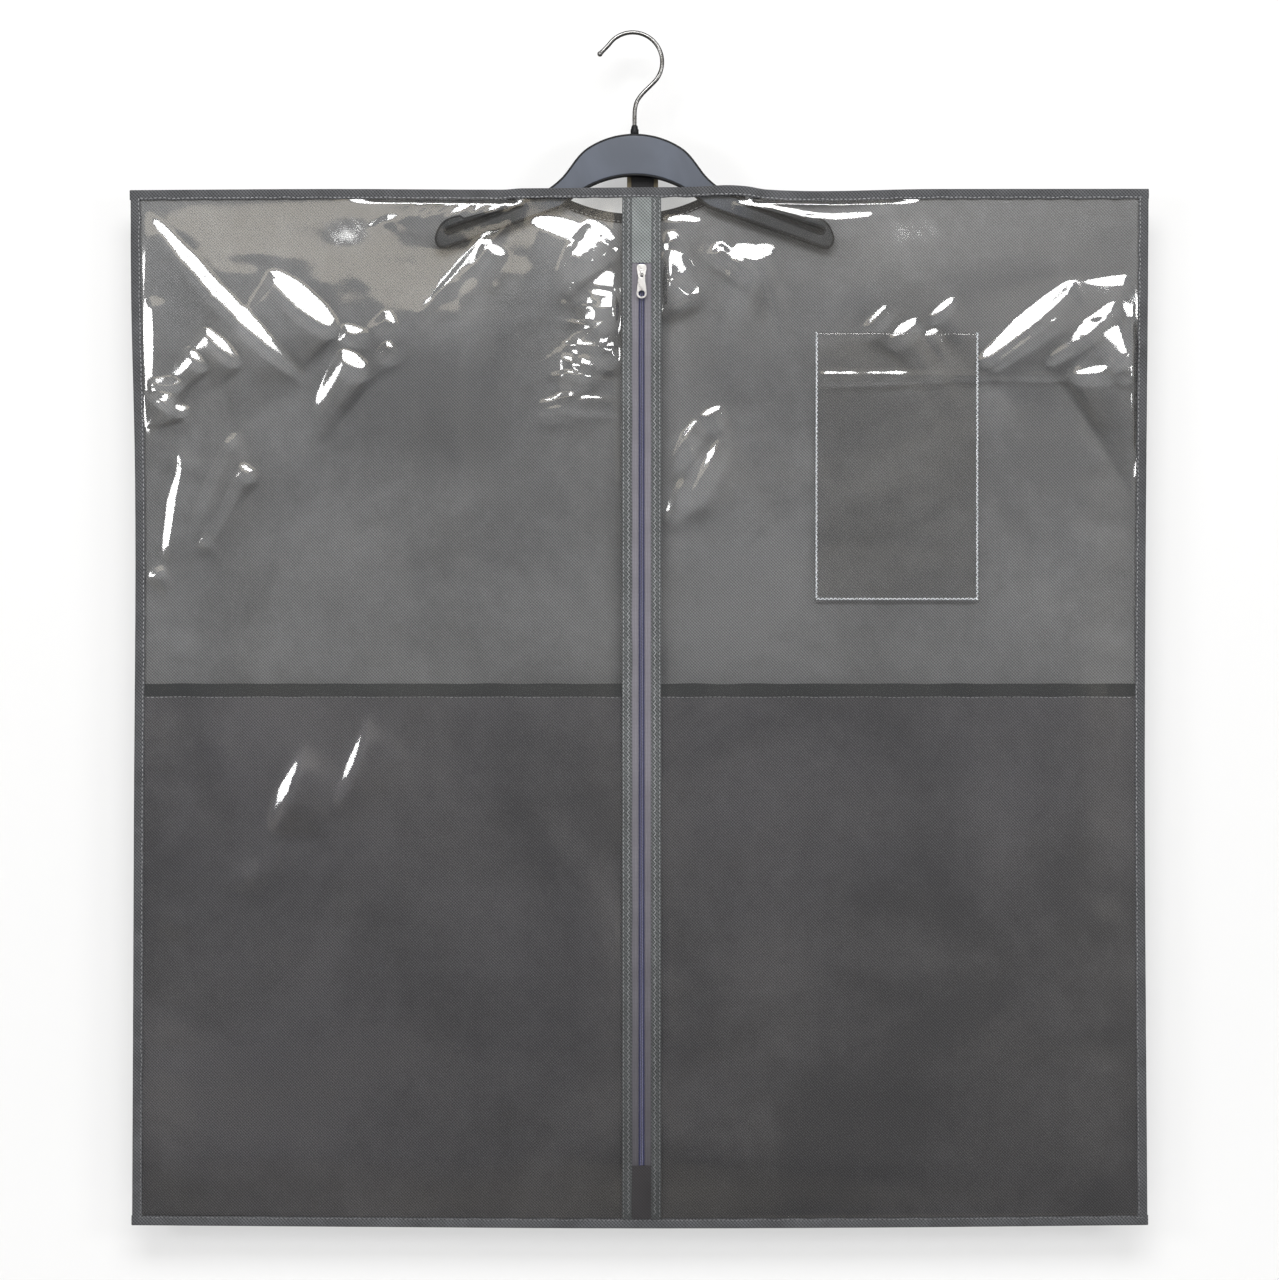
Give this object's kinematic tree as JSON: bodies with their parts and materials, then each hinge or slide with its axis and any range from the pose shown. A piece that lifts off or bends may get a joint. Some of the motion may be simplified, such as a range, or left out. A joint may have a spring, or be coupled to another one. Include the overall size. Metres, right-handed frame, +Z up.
{
  "type": "garment bag",
  "caption": "Clear-fronted hanging garment bag with a nonwoven back, bound edges, a centre zip, a window pocket and a swivel-hook plastic hanger.",
  "frame": {"origin": "on the hook's swivel axis, at the inner top of the hook, where it sits on a rail", "axes": "+Z up along the swivel axis, the bag's front faces -Y, +X to the right as seen from the front"},
  "size_m": [1.018, 0.0243, 1.1981],
  "materials": {
    "hook_steel": "satin",
    "hanger_plastic": "satin",
    "back_cloth": "matte",
    "binding_cloth": "matte",
    "clear_film": "gloss",
    "pocket_cloth": "matte",
    "placket_cloth": "matte",
    "zip_tape": "matte",
    "zip_coil": "satin",
    "nickel": "polished",
    "thread": "satin",
    "black_webbing": "matte",
    "taupe_webbing": "matte"
  },
  "bodies": {
    "hook": {"hook_wire": "hook_steel", "hook_tip_cap": "hook_steel", "hook_stem_retainer": "hook_steel"},
    "hanger": {"hanger_body": "hanger_plastic", "hanger_collar": "hanger_plastic"},
    "bag": {"back_panel": "back_cloth", "back_neck_binding": "binding_cloth", "front_film_left": "clear_film", "front_film_right": "clear_film", "pocket_panel_left": "pocket_cloth", "pocket_panel_right": "pocket_cloth", "top_binding": "binding_cloth", "bottom_binding": "binding_cloth", "left_binding": "binding_cloth", "right_binding": "binding_cloth", "placket_strip_left": "placket_cloth", "placket_strip_right": "placket_cloth", "placket_top_tab": "placket_cloth", "placket_bottom_tab": "placket_cloth", "zip_tape_left": "zip_tape", "zip_tape_right": "zip_tape", "zip_coil_left": "zip_coil", "zip_coil_right": "zip_coil", "id_pocket_film": "clear_film", "id_pocket_seam_left": "thread", "id_pocket_seam_right": "thread", "id_pocket_seam_bottom": "thread", "neck_tab_webbing": "black_webbing", "neck_tab_backing": "taupe_webbing"},
    "zip_slider": {"slider_body": "nickel"},
    "zip_pull": {"pull_tab": "nickel"}
  },
  "joints": [
    {"name": "hook_swivel", "type": "hinge", "parent": "hook", "child": "hanger", "pos_m": [0, 0, -0.09], "axis": [0, 0, 1], "continuous": true},
    {"name": "bag_lift", "type": "slide", "parent": "hanger", "child": "bag", "axis": [0, 0, 1], "range_m": [0, 0.045]},
    {"name": "zip_travel", "type": "slide", "parent": "bag", "child": "zip_slider", "axis": [0, 0, -1], "range_m": [0, 0.884]},
    {"name": "pull_flip", "type": "hinge", "parent": "zip_slider", "child": "zip_pull", "pos_m": [0.007, -0.0134, -0.2395], "axis": [-1, 0, 0], "range_deg": [0, 168]}
  ]
}
